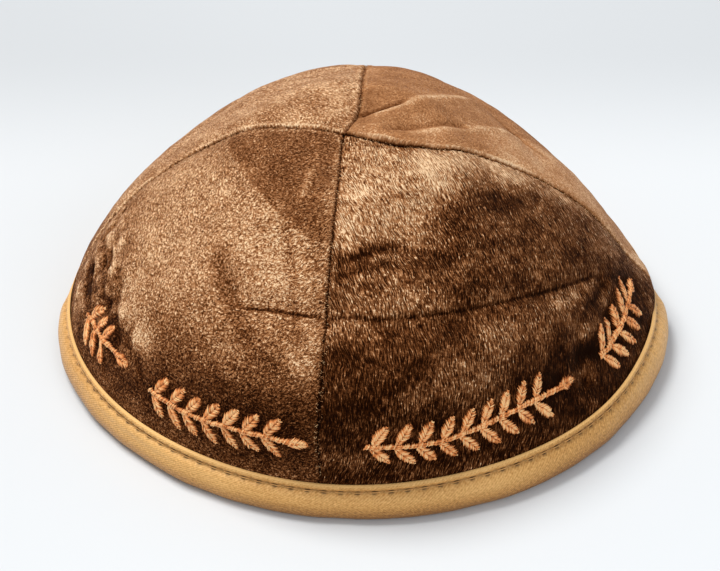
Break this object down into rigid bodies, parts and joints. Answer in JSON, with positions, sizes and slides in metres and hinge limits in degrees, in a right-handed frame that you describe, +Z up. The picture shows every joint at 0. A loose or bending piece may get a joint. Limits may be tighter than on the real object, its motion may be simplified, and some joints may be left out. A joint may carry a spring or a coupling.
{
  "type": "velvet skullcap",
  "caption": "Low domed skullcap sewn from velvet gores that meet at the apex, its round rim bound with folded satin tape, open below for the head.",
  "frame": {"origin": "middle of the rim, on the surface that the cap rests on", "axes": "+Z up through the crown, -Y towards the front of the cap, +X to the right of someone who looks at its front"},
  "size_m": [0.1926, 0.1926, 0.0733],
  "materials": {
    "velvet": "brown velvet with a short nap",
    "satin_tape": "gold satin weave"
  },
  "bodies": {
    "root": {"panel_front_right": "velvet", "panel_back_right": "velvet", "panel_back_left": "velvet", "panel_front_left": "velvet", "rim_binding": "satin_tape"}
  },
  "joints": []
}
